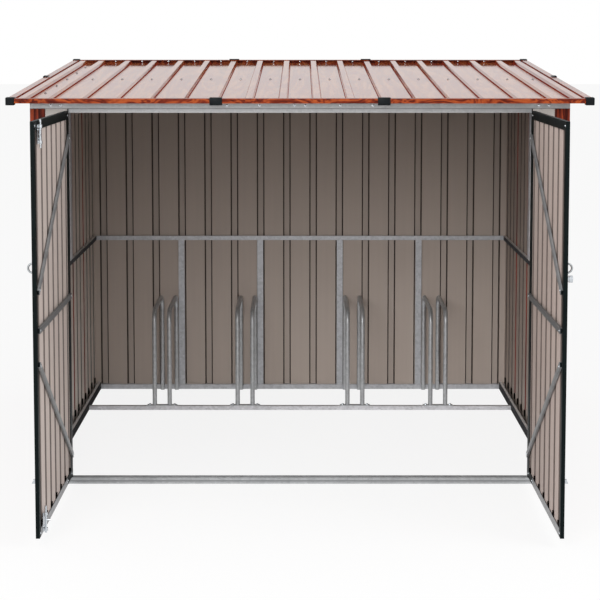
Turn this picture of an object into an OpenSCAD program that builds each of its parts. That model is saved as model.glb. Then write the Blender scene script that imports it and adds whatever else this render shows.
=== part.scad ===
// Steel bike shelter: a mono-pitch shed of ribbed sheet on a galvanised frame,
// with two hinged doors, four wheel racks and no floor.
// Origin: ground level, middle of the doorway sill. +X right, +Y to the back, +Z up.
// The doors are drawn standing open at a right angle.

/* [Body] */
// Width over the corner posts
body_w = 1986; // [1500:1:2600]
// Depth from the front plane to the back of the back posts
body_d = 1870; // [1400:1:2400]
// Visible width of each wood-look corner post
post_w = 56; // [40:1:80]
// Depth of each corner post's side leg
post_d = 60; // [30:1:90]
// Thickness of the corner posts' skin
skin_t = 1.5; // [1:0.1:2.5]

/* [Base] */
// Height of the base rails
rail_h = 22; // [16:1:30]
// Width of the front and side base rails
rail_w = 44; // [36:1:60]
// Width of the back base rail
back_rail_w = 32; // [28:1:60]
// Wall thickness of the base rails
rail_t = 1.5; // [1:0.1:2]
// Height of the ridges along the sill
ridge_h = 2; // [1:0.1:3]
// Depth of the groove along the sill's front face
groove_d = 2; // [1:0.1:3]
// Height of the groove
groove_h = 6; // [3:0.5:8]
// Height of the side rails' inner wall
inner_h = 36; // [22:1:40]
// Width of the lip folded over on that wall
lip_w = 11; // [6:1:14]
// Reach of the triangular corner feet beyond the walls
foot_reach = 13; // [8:1:25]

/* [Walls] */
// Thickness of the sheets
sheet_t = 1; // [0.6:0.1:1.5]
// Distance from rib to rib, to the nearest that fits evenly
rib_pitch = 124; // [80:1:160]
// Distance from the corner posts' edge to the middle of the outermost rib
rib_in = 7; // [0:1:11]
// Width of a rib where it leaves the flat pan
rib_base = 36; // [30:1:50]
// Width of a rib's crest
rib_crest = 24; // [14:1:28]
// Height of the wall ribs
wall_rib_h = 15; // [8:1:20]
// Depth of the inner rails and posts
frame_d = 12; // [10:1:20]
// Height of the mid rail's underside
mid_z = 714; // [500:1:900]
// Height of the mid rails
mid_h = 20; // [16:1:40]
// Height of the top rails
top_h = 30; // [20:1:40]
// Width of the posts at the middle of the side walls
side_post_w = 55; // [30:1:80]
// Width of the lower posts on the back wall
back_post_w = 28; // [20:1:40]

/* [Doorway] */
// Visible width of the jambs beside the doorway
jamb_w = 80; // [60:1:140]
// Depth of the jambs
jamb_d = 30; // [24:1:42]
// Height of the lintel's visible lower edge
lintel_z = 1406; // [1200:1:1900]
// Depth of the lintel's upper flange
lintel_d = 38; // [30:1:42]
// Height of the stop flange under the lintel
stop_h = 16; // [12:1:20]
// Clearance between the upper bolt's rod and the stop flange behind it
stop_gap = 1.6; // [1:0.1:6]

/* [Roof] */
// Overhang at the sides
over_side = 72; // [40:1:160]
// Overhang at the front
over_front = 98; // [60:1:160]
// Overhang at the back
over_back = 20; // [8:1:80]
// Height from the lintel's lower edge up to the roof's front edge
roof_rise = 24; // [24:1:200]
// Pitch of the roof, in degrees
roof_slope = 3.4; // [2:0.1:8]
// Height of the roof ribs
roof_rib_h = 13; // [8:1:16]
// Depth of the edge trims' flanges
trim_d = 27; // [14:1:30]
// Thickness of the edge trims
trim_t = 1.2; // [1:0.1:2]
// Flat strip between the side trims' flanges and the roof's outermost ribs
edge_flat = 4; // [1:0.5:10]
// Side of a corner cap
cap_w = 30; // [24:1:40]
// Drop of a corner cap below the trims
cap_drop = 7; // [3:1:10]
// Rise of a corner cap above the trims
cap_rise = 4; // [2:1:8]
// Width of the purlin
purlin_w = 40; // [30:1:60]

/* [Doors] */
// Clearance between the sill's ridges and the leaves
sill_gap = 7; // [5:0.5:30]
// Thickness of a leaf
leaf_t = 13; // [12:0.5:16]
// Gap between the closed leaves
leaf_gap = 5; // [5:0.5:10]
// Clearance over the leaves
leaf_head = 8; // [6:1:12]
// Width of the stiles and height of the top rail
stile_w = 30; // [20:1:50]
// Height of the bottom rail
bottom_rail_h = 27; // [20:1:50]
// Length of the frame's foot at the hinge end of the bottom rail
foot_l = 130; // [60:1:250]
// Distance from rib to rib on the doors, to the nearest that fits evenly
door_pitch = 120; // [80:1:160]
// Thickness of the frame over the sheet's inner face
frame_over = 3; // [2:0.5:4]
// Width of the braces and of the mid rail
brace_w = 20; // [14:1:30]
// Depth of the braces and of the mid rail
brace_d = 7; // [4:0.5:10]
// Thickness of the steel of the leaves' rails and braces
brace_t = 1.2; // [1:0.1:2]
// Length of the braces and the mid rail that lies on the hinge stile
hinge_lap = 24; // [10:1:28]
// Length of the braces and the mid rail that lies on the free stile
free_lap = 5; // [2:0.5:14]
// Middle height of the leaves' mid rail
door_mid_z = 715; // [600:1:800]
// Drop from the leaf's top to the upper brace's hinge end
brace_drop = 94; // [60:1:200]
// Rise from the mid rail to the upper brace's free end
brace_over = 126; // [60:1:300]
// Drop from the mid rail to the lower brace's free end
brace_under = 111; // [60:1:300]
// Rise from the leaf's lower edge to the lower brace's hinge end
brace_rise = 83; // [60:1:200]

/* [Hinges] */
// Distance from the hinge line to the jamb's edge
hinge_in = 2; // [1:0.5:4]
// Distance from the hinge line to the leaf's edge
hinge_gap = 10; // [8:0.5:14]
// Distance from the hinge line to the leaf's outer face
hinge_back = 6.6; // [5:0.1:8]
// Radius of the knuckles
knuckle_r = 4; // [3.5:0.1:5]
// Radius of the hinge pins
pin_r = 2.5; // [2:0.1:3]
// Height of one knuckle
knuckle_h = 18; // [12:1:30]
// Rise from the leaf's lower edge to the bottom hinge
hinge_rise = 24; // [22:1:250]
// Drop from the leaf's top to the top hinge
hinge_drop = 22; // [20:1:250]

/* [Handles, bolts and lock] */
// Distance from the free stile to the handles and to the rib that they stand on
handle_in = 30; // [25:1:90]
// Middle height of the handles
handle_z = 917; // [700:1:1000]
// Radius of the handles' bent bar
handle_bar_r = 3.5; // [3:0.1:5]
// Radius of the handles' bend
handle_r = 15; // [13:1:30]
// Length of the handles' straight legs
handle_leg = 6.5; // [4:0.5:20]
// Drop from the handle's middle to the lock's
lock_drop = 36; // [32:1:80]
// Radius of the lock's knob
lock_r = 12; // [8:0.5:14]
// Reach of the lock's knob
lock_reach = 24; // [15:1:30]
// Distance from the bolts to the leaf's free edge
bolt_in = 86; // [70:1:150]
// Radius of the bolt rods
rod_r = 4; // [3:0.1:5]
// Running clearance round the rods
rod_gap = 0.1; // [0.05:0.01:0.1]
// Distance from the leaf to the rods' middle
rod_out = 8; // [7:0.5:9]
// Radius of the rods' knobs
knob_r = 3; // [2:0.5:4]
// Reach of the knobs from the rods
knob_reach = 12; // [8:1:20]
// Height of a bolt housing
housing_h = 62; // [58:1:80]
// Height of a rod guide
guide_h = 10; // [6:1:12]
// Reach of the rods past the leaf's edges at rest
rod_proud = 2.5; // [1:0.5:2.5]
// Travel of the upper rod up from rest
throw_up = 14; // [10:1:18]
// Travel of the lower rod down from rest
throw_down = 22; // [14:1:24]

/* [Wheel racks] */
// Distance from the cross rail to the back of the shelter
rack_depth = 521; // [400:1:900]
// Depth of the cross rail
cross_d = 25; // [22:1:40]
// Height of the cross rail
cross_h = 18; // [12:1:24]
// Middle of the outer racks
rack_outer_x = 620; // [500:1:800]
// Middle of the inner racks
rack_inner_x = 247; // [120:1:300]
// Distance between the two hoops of a rack
rack_slot = 67; // [60:1:90]
// Radius of the hoops' tube
tube_r = 10; // [8:0.5:12]
// Height of the hoops' middle line
hoop_h = 450; // [300:1:600]
// Radius of the hoops' bends
bend_r = 60; // [30:1:100]
// Thickness of the foot plates on the cross rail
foot_t = 4; // [2:0.5:6]

/* [Hidden] */
$fn = 48;

seat = 0.3;                              // gap between pieces that rest on each other
half_w = body_w / 2;
door_w = body_w - 2 * (post_w + jamb_w);  // doorway between the jambs
half_door = door_w / 2;
pan_x = half_w - skin_t - 0.5 - wall_rib_h - sheet_t;   // inner face of the side sheets
pan_y = body_d - skin_t - 0.5 - wall_rib_h - sheet_t;   // inner face of the back sheet
frame_x = pan_x - frame_d;               // inner face of the side rails and posts
frame_y = pan_y - frame_d;               // inner face of the back rails and posts
mid_y = body_d / 2;
back_rail_y = body_d - back_rail_w;
roof_z = lintel_z + roof_rise;           // underside of the roof sheet at its front edge
lintel_top = roof_under(0) - seat;
closed_rod_y = leaf_t - hinge_back + rod_out;           // the bolt rods' line with the doors closed
stop_in = closed_rod_y + rod_r + stop_gap;              // front of the stop flange
across_span = 2 * (half_w - post_w - rib_in);           // first to last rib, back wall and roof

leaf_w = half_door + hinge_in - hinge_gap - leaf_gap / 2;
leaf_z = rail_h + ridge_h + sill_gap;    // lower edge of the leaves
leaf_top = lintel_z - leaf_head;
handle_u = leaf_w - stile_w - handle_in;
hinge_x = half_door + hinge_in;
pan_v = leaf_t - frame_over;             // inner face of a door's sheet
door_rib_h = pan_v - sheet_t - 0.5;
bolt_u = leaf_w - bolt_in;
rod_v = leaf_t + rod_out;
closed_rod_x = hinge_x - hinge_gap - bolt_u;
hinge_zs = [leaf_z + hinge_rise, leaf_top - hinge_drop];
lock_z = handle_z - lock_drop;
stop_z = lintel_z - stop_h;
upper_housing_z = stop_z - 6 - housing_h;
lower_housing_z = leaf_z + 4;

roof_w = body_w + 2 * over_side;
roof_half = roof_w / 2;
roof_len = (over_front + body_d + over_back) / cos(roof_slope);
trim_h = roof_rib_h + sheet_t + 2 * seat + 2 * trim_t;

cross_y = body_d - rack_depth;
cross_mid = cross_y + cross_d / 2;
hoop_back_y = back_rail_y - tube_r - seat;

galvanised = "#a4a6a8";
woodlook = "#8a4526";
fascia_wood = "#b8612e";
inner_beige = "#b9a89f";
dark_steel = "#20282a";
black_plastic = "#1c1c1e";
bright_zinc = "#c9cbcc";

// Height of the roof sheet's underside at a distance from the front plane
function roof_under(y) = roof_z + (y + over_front) * tan(roof_slope);

// Highest point of what stands under the roof's edge trims
function wall_top(y) = roof_under(y) - trim_t - 2 * seat;

// Middles of the ribs, evenly over a span about the sheet's centre
function rib_mids(span, pitch) =
    let (n = round(span / pitch)) [for (i = [0 : n]) span * (i / n - 1 / 2)];

// One face of a ribbed sheet, raised by a thickness
function rib_line(w, mids, h, up) = concat(
    [[-w / 2, up]],
    [for (m = mids) each [
        [m - rib_base / 2, up], [m - rib_crest / 2, up + h],
        [m + rib_crest / 2, up + h], [m + rib_base / 2, up]]],
    [[w / 2, up]]);

function reversed(v) = [for (i = [len(v) - 1 : -1 : 0]) v[i]];

// Everything is laid out from the front plane and moved to the sill's middle
module placed() { translate([0, -rail_w / 2, 0]) children(); }

module both_sides() { children(); mirror([1, 0, 0]) children(); }

// An outline drawn in (y, z) run along +X
module along_x(l) { rotate([90, 0, 90]) linear_extrude(l) children(); }

// An outline drawn in (x, z) run along +Y
module along_y(l) { translate([0, l, 0]) rotate([90, 0, 0]) linear_extrude(l) children(); }

// Lays its children in the plane of the roof sheet's underside, from the front edge
module on_roof() {
    translate([0, -over_front, roof_z]) rotate([roof_slope, 0, 0]) children();
}

// Ribbed sheet outline: inner face on y = 0, ribs towards +y
module ribbed(w, mids, h) {
    polygon(concat(rib_line(w, mids, h, sheet_t), reversed(rib_line(w, mids, h, 0))));
}

// Channel outline w wide and d deep, closed towards -y and open towards +y
module channel(w, d, t) {
    difference() {
        square([w, d]);
        translate([t, t]) square([w - 2 * t, d]);
    }
}

// Box tube outline
module box_tube(w, h, t) {
    difference() {
        square([w, h]);
        translate([t, t]) square([w - 2 * t, h - 2 * t]);
    }
}

/* ---- base ---- */

// Box tube with a groove rolled into its front face
module sill_outline() {
    groove_z = (rail_h - groove_h) / 2;
    difference() {
        union() {
            box_tube(rail_w, rail_h, rail_t);
            translate([0, groove_z - rail_t]) square([groove_d + rail_t, groove_h + 2 * rail_t]);
        }
        translate([-1, groove_z]) square([groove_d + 1, groove_h]);
    }
}

module base_front() color(galvanised) placed()
    difference() {
        union() {
            translate([-half_w, 0, 0]) along_x(body_w) sill_outline();
            for (y = [3, rail_w - 12]) translate([1 - half_door, y, rail_h - rail_t / 2])
                cube([door_w - 2, 2, rail_t / 2 + ridge_h]);
        }
        translate([-closed_rod_x, closed_rod_y, rail_h / 2])
            cylinder(r = rod_r + 2, h = rail_h);
    }

module base_back() color(galvanised) placed()
    translate([-half_w, back_rail_y, 0]) along_x(body_w) box_tube(back_rail_w, rail_h, rail_t);

// Channel on the right, open upwards, in which the wall's sheet stands
module base_side() {
    translate([half_w, rail_w + seat, 0]) rotate([0, 0, 90])
        along_x(back_rail_y - rail_w - 2 * seat) {
            square([rail_w, rail_t]);
            square([rail_t, rail_h]);
            translate([rail_w - rail_t, 0]) square([rail_t, inner_h]);
            translate([rail_w - lip_w, inner_h - rail_t]) square([lip_w, rail_t]);
        }
}

module base_left() color(galvanised) placed() mirror([1, 0, 0]) base_side();
module base_right() color(galvanised) placed() base_side();

// Lies on the ground between the side rails
module rack_cross_rail() color(galvanised) placed() {
    reach = half_w - rail_w - seat;
    translate([-reach, cross_y, 0]) along_x(2 * reach) box_tube(cross_d, cross_h, rail_t);
}

module corner_feet() color(bright_zinc) placed() both_sides()
    for (y = [0, body_d - 25])
        translate([half_w + seat, y, 0]) along_y(25)
            polygon([[0, 0], [foot_reach, 0], [foot_reach, 3], [0, 20]]);

/* ---- walls and frame ---- */

module corner_angle(w, d, h) {
    linear_extrude(h) difference() {
        square([w, d]);
        translate([-1, skin_t]) square([w - skin_t + 1, d]);
    }
}

// The front legs stop under the lintel and the side legs run on to the roof
module front_corner_posts() color(woodlook) placed() both_sides()
    difference() {
        translate([half_w - post_w, 0, rail_h + seat])
            corner_angle(post_w, post_d, roof_under(0) - rail_h - 2 * seat);
        translate([half_w - post_w - 1, -1, lintel_z - seat])
            cube([post_w + 2, skin_t + seat + 1, roof_rise + over_front]);
    }

module back_corner_posts() color(woodlook) placed() both_sides()
    translate([half_w - post_w, body_d, rail_h + seat]) mirror([0, 1, 0])
        corner_angle(post_w, post_d, wall_top(body_d - post_d) - rail_h - seat);

module jambs() color(galvanised) placed() both_sides()
    difference() {
        translate([half_door, skin_t, rail_h + seat])
            linear_extrude(lintel_z - rail_h - 2 * seat)
                channel(pan_x - half_door - seat, jamb_d, skin_t);
        for (z = hinge_zs)
            translate([half_door - 1, 0, z - knuckle_h - 2])
                cube([hinge_in + knuckle_r + 2.5, knuckle_r + 1.5, 2 * knuckle_h + 4]);
    }

// Its web covers the whole front and its flanges stop between the side walls
module lintel() color(galvanised) placed()
    difference() {
        stop_back = stop_in + skin_t;
        union() {
            translate([-half_w, 0, lintel_z]) cube([body_w, skin_t, lintel_top - lintel_z]);
            translate([seat - pan_x, 0, 0]) along_x(2 * (pan_x - seat)) polygon([
                [0, lintel_z], [stop_back, lintel_z], [stop_back, lintel_z + skin_t],
                [skin_t, lintel_z + skin_t], [skin_t, lintel_top - skin_t],
                [lintel_d, lintel_top - skin_t], [lintel_d, lintel_top], [0, lintel_top]]);
            translate([seat - half_door, stop_in, stop_z])
                cube([door_w - 2 * seat, skin_t, stop_h + skin_t]);
        }
        translate([-closed_rod_x - rod_r - 2, closed_rod_y - rod_r - 2, lintel_z - 1])
            cube([2 * rod_r + 4, stop_in - closed_rod_y + rod_r + 2, skin_t + 2]);
    }

module mid_rail_back() color(galvanised) placed()
    translate([-frame_x, frame_y, mid_z]) rail_to_sheet(2 * frame_x, mid_h);

// Horizontal rail along +X with its web on the inside and its open side to the sheet
module rail_to_sheet(l, h) {
    along_x(l) difference() {
        square([frame_d - seat, h]);
        translate([skin_t, skin_t]) square([frame_d, h - 2 * skin_t]);
    }
}

module mid_rails_side() color(galvanised) placed() both_sides()
    translate([frame_x, pan_y - seat, mid_z]) rotate([0, 0, -90])
        rail_to_sheet(pan_y - jamb_d - skin_t - 3 * seat, mid_h);

module top_rail_back() color(galvanised) placed()
    translate([-frame_x + seat, frame_y, roof_under(frame_y) - seat - top_h])
        rail_to_sheet(2 * (frame_x - seat), top_h);

module top_rails_side() color(galvanised) placed() both_sides()
    translate([frame_x, frame_y - seat, roof_under(frame_y - seat) - seat - top_h])
        rotate([roof_slope, 0, 0]) rotate([0, 0, -90])
            rail_to_sheet((frame_y - jamb_d - skin_t - 12) / cos(roof_slope), top_h);

module side_posts() color(galvanised) placed() both_sides()
    translate([frame_x, mid_y + side_post_w / 2, mid_z + mid_h + seat]) rotate([0, 0, -90])
        linear_extrude(roof_under(mid_y - side_post_w / 2) - 2 * seat - top_h / cos(roof_slope)
                       - mid_z - mid_h - seat)
            channel(side_post_w, frame_d - seat, skin_t);

module back_posts() color(galvanised) placed() both_sides()
    for (x = [rack_outer_x, rack_inner_x])
        translate([x - rack_slot / 2 - tube_r - 1 - back_post_w, frame_y, rail_h + seat])
            linear_extrude(mid_z - rail_h - 2 * seat)
                channel(back_post_w, frame_d - seat, skin_t);

module purlin() color(galvanised) placed()
    translate([seat - frame_x, mid_y, roof_under(mid_y) - seat]) rotate([roof_slope, 0, 0])
        translate([0, -purlin_w / 2, -top_h]) along_x(2 * (frame_x - seat))
            difference() {
                square([purlin_w, top_h]);
                translate([skin_t, skin_t]) square([purlin_w - 2 * skin_t, top_h]);
            }

module back_wall() color(inner_beige) placed()
    translate([0, pan_y, rail_h + seat])
        linear_extrude(wall_top(pan_y) - rail_h - seat)
            ribbed(2 * (pan_x - seat), rib_mids(across_span, rib_pitch), wall_rib_h);

// Side wall in place on the right, stepped at its foot to stand in the side rail
module side_wall() {
    y0 = skin_t + seat;
    y1 = pan_y + sheet_t;
    step0 = rail_w + 4 * seat;
    step1 = back_rail_y - 4 * seat;
    intersection() {
        translate([pan_x, (y0 + y1) / 2, 0]) rotate([0, 0, -90])
            linear_extrude(2 * roof_z)
                ribbed(y1 - y0, rib_mids(y0 + y1 - 2 * post_d, rib_pitch), wall_rib_h);
        along_x(body_w) polygon([
            [0, rail_h + seat], [step0, rail_h + seat], [step0, rail_t + seat],
            [step1, rail_t + seat], [step1, rail_h + seat], [body_d, rail_h + seat],
            [body_d, roof_under(body_d) - seat], [0, roof_under(0) - seat]]);
    }
}

module left_wall() color(inner_beige) placed() mirror([1, 0, 0]) side_wall();
module right_wall() color(inner_beige) placed() side_wall();

/* ---- roof ---- */

module roof_sheet() color(fascia_wood) placed() on_roof()
    difference() {
        edge = trim_t + seat;
        outer_rib = roof_half - trim_d - edge_flat - rib_base / 2;
        translate([0, edge, 0]) along_y(roof_len - 2 * edge)
            ribbed(roof_w - 2 * edge,
                   concat([-outer_rib], rib_mids(across_span, rib_pitch), [outer_rib]), roof_rib_h);
        for (x = [-roof_half, roof_half], y = [0, roof_len])
            translate([x, y, 0])
                cube([2 * (cap_w + seat), 2 * (cap_w + seat), 4 * trim_h], center = true);
    }

// Edge trim outline: the web stands on x = 0 and the flanges reach towards +x
module trim_outline() {
    translate([0, -trim_t - seat]) difference() {
        square([trim_d, trim_h]);
        translate([trim_t, trim_t]) square([trim_d, trim_h - 2 * trim_t]);
    }
}

module cross_trim() {
    translate([cap_w + seat - roof_half, 0, 0]) along_x(roof_w - 2 * (cap_w + seat)) trim_outline();
}

module side_trim() {
    translate([-roof_half, cap_w + seat, 0]) along_y(roof_len - 2 * (cap_w + seat)) trim_outline();
}

module roof_trim_front() color(fascia_wood) placed() on_roof() cross_trim();
module roof_trim_back() color(fascia_wood) placed() on_roof()
    translate([0, roof_len, 0]) mirror([0, 1, 0]) cross_trim();
module roof_trim_left() color(fascia_wood) placed() on_roof() side_trim();
module roof_trim_right() color(fascia_wood) placed() on_roof() mirror([1, 0, 0]) side_trim();

module roof_corner_caps() color(black_plastic) placed() on_roof() both_sides() {
    proud = 2;
    for (y = [-proud, roof_len - cap_w])
        translate([roof_half - cap_w, y, -trim_t - seat - cap_drop])
            cube([cap_w + proud, cap_w + proud, trim_h + cap_drop + cap_rise]);
}

/* ---- wheel racks ---- */

module hoop(x) {
    foot_z = cross_h + seat;
    translate([x, cross_mid, foot_z]) cylinder(r = tube_r, h = hoop_h - bend_r - foot_z);
    translate([x, hoop_back_y, 0]) cylinder(r = tube_r, h = hoop_h - bend_r);
    translate([x, cross_mid + bend_r, hoop_h - bend_r]) rotate([90, 0, 90]) rotate([0, 0, 90])
        rotate_extrude(angle = 90) translate([bend_r, 0]) circle(r = tube_r);
    translate([x, hoop_back_y - bend_r, hoop_h - bend_r]) rotate([90, 0, 90])
        rotate_extrude(angle = 90) translate([bend_r, 0]) circle(r = tube_r);
    translate([x, cross_mid + bend_r, hoop_h]) rotate([-90, 0, 0])
        cylinder(r = tube_r, h = hoop_back_y - cross_mid - 2 * bend_r);
}

// Two hoops on one foot plate, with the wheel's slot between them
module rack(x) {
    foot_w = 2 * rack_slot;
    hoop(x - rack_slot / 2);
    hoop(x + rack_slot / 2);
    translate([x - foot_w / 2, cross_y, cross_h + seat]) cube([foot_w, cross_d, foot_t]);
}

module rack_outer_left() color(galvanised) placed() rack(-rack_outer_x);
module rack_inner_left() color(galvanised) placed() rack(-rack_inner_x);
module rack_inner_right() color(galvanised) placed() rack(rack_inner_x);
module rack_outer_right() color(galvanised) placed() rack(rack_outer_x);

/* ---- doors: u along the leaf from its hinge edge, v from its outer face, z up ---- */

// Lays a leaf's coordinates in place on the left, standing open
module left_leaf() {
    translate([-hinge_x - hinge_back, -hinge_gap, 0]) rotate([0, 0, -90]) children();
}

module right_leaf() { mirror([1, 0, 0]) left_leaf() children(); }

// Flat outline drawn in (u, z), thick from v0 to v1
module in_leaf(v0, v1) {
    translate([0, v1, 0]) rotate([90, 0, 0]) linear_extrude(v1 - v0) children();
}

module leaf_frame() {
    difference() {
        union() {
            in_leaf(0, leaf_t) {
                translate([0, leaf_z]) square([stile_w, leaf_top - leaf_z]);
                translate([leaf_w - stile_w, leaf_z]) square([stile_w, leaf_top - leaf_z]);
                translate([0, leaf_top - stile_w]) square([leaf_w, stile_w]);
                translate([0, leaf_z]) square([foot_l, bottom_rail_h]);
            }
            for (z = hinge_zs) {
                translate([-hinge_gap, hinge_back, z + 0.5]) cylinder(r = knuckle_r, h = knuckle_h);
                translate([-hinge_gap, hinge_back - 1.5, z + 0.5])
                    cube([hinge_gap + 1, 3, knuckle_h]);
            }
        }
        for (z = hinge_zs)
            translate([-hinge_gap, hinge_back, z - 1]) cylinder(r = pin_r + 0.08, h = knuckle_h + 3);
    }
}

// Channel along +u from one point to another, its web inwards and its open side to the sheet
module leaf_bar(z0, z1) {
    u0 = stile_w - hinge_lap;
    run = leaf_w - stile_w + free_lap - u0;
    translate([u0, leaf_t + 0.1, z0]) rotate([0, -atan2(z1 - z0, run), 0])
        along_x(norm([run, z1 - z0])) translate([0, -brace_w / 2]) difference() {
            square([brace_d, brace_w]);
            translate([-brace_t, brace_t]) square([brace_d, brace_w - 2 * brace_t]);
        }
}

// The bottom rail is a channel that is open upwards
module leaf_rails() {
    rail_u = foot_l + seat;
    translate([rail_u, 0, leaf_z]) along_x(leaf_w - stile_w - seat - rail_u)
        difference() {
            square([leaf_t, bottom_rail_h]);
            translate([brace_t, brace_t]) square([leaf_t - 2 * brace_t, bottom_rail_h]);
        }
    leaf_bar(door_mid_z, door_mid_z);
}

module leaf_braces() {
    leaf_bar(leaf_top - brace_drop, door_mid_z + brace_over);
    leaf_bar(leaf_z + brace_rise, door_mid_z - brace_under);
}

module leaf_sheet() {
    z0 = leaf_z + bottom_rail_h + seat;
    translate([leaf_w / 2, pan_v, z0]) mirror([0, 1, 0])
        linear_extrude(leaf_top - stile_w - seat - z0)
            ribbed(leaf_w - 2 * (stile_w + seat), rib_mids(2 * handle_u - leaf_w, door_pitch),
                   door_rib_h);
}

// Bent pull handle on round roses
module leaf_handle() {
    translate([handle_u, 0, handle_z]) {
        for (s = [-1, 1]) translate([0, 0, s * handle_r]) rotate([90, 0, 0]) {
            cylinder(r = handle_bar_r, h = handle_leg);
            cylinder(r = handle_bar_r + 2.5, h = 1.5);
        }
        translate([0, -handle_leg, 0]) rotate([180, -90, 0])
            rotate_extrude(angle = 180) translate([handle_r, 0]) circle(r = handle_bar_r);
    }
}

module hinge_plates() color(galvanised) placed() both_sides()
    for (z = hinge_zs) translate([hinge_x, 0, z - knuckle_h - 0.5]) {
        cylinder(r = knuckle_r, h = knuckle_h);
        cylinder(r = pin_r, h = 2 * knuckle_h);
        translate([0, skin_t - seat - 2, 0]) cube([26, 2, knuckle_h]);
    }

// Plate and two guides that hold a bolt rod, from its lower end
module bolt_housing() {
    difference() {
        union() {
            translate([-15, 0, 0]) cube([30, skin_t, housing_h]);
            for (z = [0, housing_h - guide_h]) translate([0, 0, z]) {
                translate([0, rod_out, 0]) cylinder(r = rod_r + 3, h = guide_h);
                translate([-rod_r - 3, 0, 0]) cube([2 * rod_r + 6, rod_out, guide_h]);
            }
        }
        translate([0, rod_out, -1]) cylinder(r = rod_r + rod_gap, h = housing_h + 2);
    }
}

// Rod from z0 to z1 with its knob at knob_z, turned from the leaf's normal to the free edge
module bolt_rod(z0, z1, knob_z, turn) {
    translate([bolt_u, rod_v, 0]) {
        translate([0, 0, z0]) cylinder(r = rod_r, h = z1 - z0);
        translate([0, 0, knob_z]) rotate([-90, 0, -turn]) cylinder(r = knob_r, h = rod_r + knob_reach);
    }
}

module left_door_frame() color(dark_steel) placed() left_leaf() leaf_frame();
module left_door_rails() color(galvanised) placed() left_leaf() leaf_rails();
module left_door_braces() color(galvanised) placed() left_leaf() leaf_braces();
module left_door_sheet() color(inner_beige) placed() left_leaf() leaf_sheet();
module left_door_handle() color(bright_zinc) placed() left_leaf() leaf_handle();

module bolt_housings() color(bright_zinc) placed() left_leaf()
    for (z = [lower_housing_z, upper_housing_z])
        translate([bolt_u, leaf_t + 0.1, z]) bolt_housing();

module upper_bolt() color(bright_zinc) placed() left_leaf()
    bolt_rod(upper_housing_z - throw_up, leaf_top + rod_proud, upper_housing_z + housing_h / 2, 90);

module lower_bolt() color(bright_zinc) placed() left_leaf()
    bolt_rod(leaf_z - rod_proud, lower_housing_z + housing_h + throw_down,
             lower_housing_z + guide_h + throw_down + 5, 0);

module right_door_frame() color(dark_steel) placed() right_leaf() leaf_frame();
module right_door_rails() color(galvanised) placed() right_leaf() leaf_rails();
module right_door_braces() color(galvanised) placed() right_leaf() leaf_braces();
module right_door_sheet() color(inner_beige) placed() right_leaf() leaf_sheet();
module right_door_handle() color(bright_zinc) placed() right_leaf() leaf_handle();

module door_lock() color(bright_zinc) placed() right_leaf()
    translate([handle_u, 0, lock_z]) rotate([90, 0, 0]) {
        cylinder(r = lock_r + 2, h = 3);
        cylinder(r = lock_r - 3, h = lock_reach - 6);
        translate([0, 0, lock_reach - 12]) cylinder(r = lock_r, h = 12);
    }

base_front();
base_back();
base_left();
base_right();
rack_cross_rail();
front_corner_posts();
back_corner_posts();
corner_feet();
jambs();
lintel();
mid_rail_back();
mid_rails_side();
top_rail_back();
top_rails_side();
side_posts();
back_posts();
purlin();
back_wall();
left_wall();
right_wall();
roof_sheet();
roof_trim_front();
roof_trim_back();
roof_trim_left();
roof_trim_right();
roof_corner_caps();
rack_outer_left();
rack_inner_left();
rack_inner_right();
rack_outer_right();
hinge_plates();
left_door_frame();
left_door_rails();
left_door_braces();
left_door_sheet();
left_door_handle();
bolt_housings();
upper_bolt();
lower_bolt();
right_door_frame();
right_door_rails();
right_door_braces();
right_door_sheet();
right_door_handle();
door_lock();
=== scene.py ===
"""Looks of the bike shelter: finishes for the CAD nodes, and the screws, clips and caps on them."""

from math import atan2, cos, pi, radians, sin, tan

import bmesh
import bpy
from mathutils import Matrix, Vector


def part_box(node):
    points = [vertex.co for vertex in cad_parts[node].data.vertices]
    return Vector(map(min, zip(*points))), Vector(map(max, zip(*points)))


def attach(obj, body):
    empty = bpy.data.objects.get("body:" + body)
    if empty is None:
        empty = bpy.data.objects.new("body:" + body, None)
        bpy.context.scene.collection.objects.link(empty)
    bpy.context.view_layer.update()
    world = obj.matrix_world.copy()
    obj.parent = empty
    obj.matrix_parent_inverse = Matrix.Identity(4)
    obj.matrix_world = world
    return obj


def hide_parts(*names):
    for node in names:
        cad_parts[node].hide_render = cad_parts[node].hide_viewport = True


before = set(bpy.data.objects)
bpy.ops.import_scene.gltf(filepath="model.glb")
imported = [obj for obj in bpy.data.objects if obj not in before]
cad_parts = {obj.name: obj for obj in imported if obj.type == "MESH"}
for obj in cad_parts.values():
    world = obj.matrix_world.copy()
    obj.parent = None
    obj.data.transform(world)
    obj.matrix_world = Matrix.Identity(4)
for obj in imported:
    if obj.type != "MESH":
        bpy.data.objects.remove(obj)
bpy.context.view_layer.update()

X, Y, Z = Vector((1, 0, 0)), Vector((0, 1, 0)), Vector((0, 0, 1))

# Sizes that the added pieces follow, in metres
ROOF_SLOPE = radians(3.4)
TRIM_H = 0.017               # height of the roof's edge trims
FLANGE_UNDER = 0.0015        # their lower flange, under the roof sheet
SHEET_T = 0.001
WALL_RIB_H = 0.015
RIB_BASE = 0.036             # width of a rib at its foot
RIB_CREST = 0.024            # and on its crest
RIB_PITCH = 0.124            # on the back wall and the roof
ACROSS_PANS = 15             # flat pans between the ribs there
DEEP_PITCH = 0.12393         # on the side walls
DEEP_PANS = 14
LEAF_W = 0.8465
LEAF_T = 0.013
STILE_W = 0.030
LEAF_PAN = 0.010             # from a leaf's outer face to its sheet's inner face
LEAF_RIB_H = 0.0085
LEAF_RIBS = 7
FIRST_LEAF_RIB = 0.060
LEAF_RIB_PITCH = 0.12108
FOOT_L = 0.130
BOTTOM_RAIL_H = 0.027
BAR_OUT = 0.0071             # the braces' and the mid rail's reach over the frame
BAR_START = 0.006            # their first end, from the hinge edge
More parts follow.
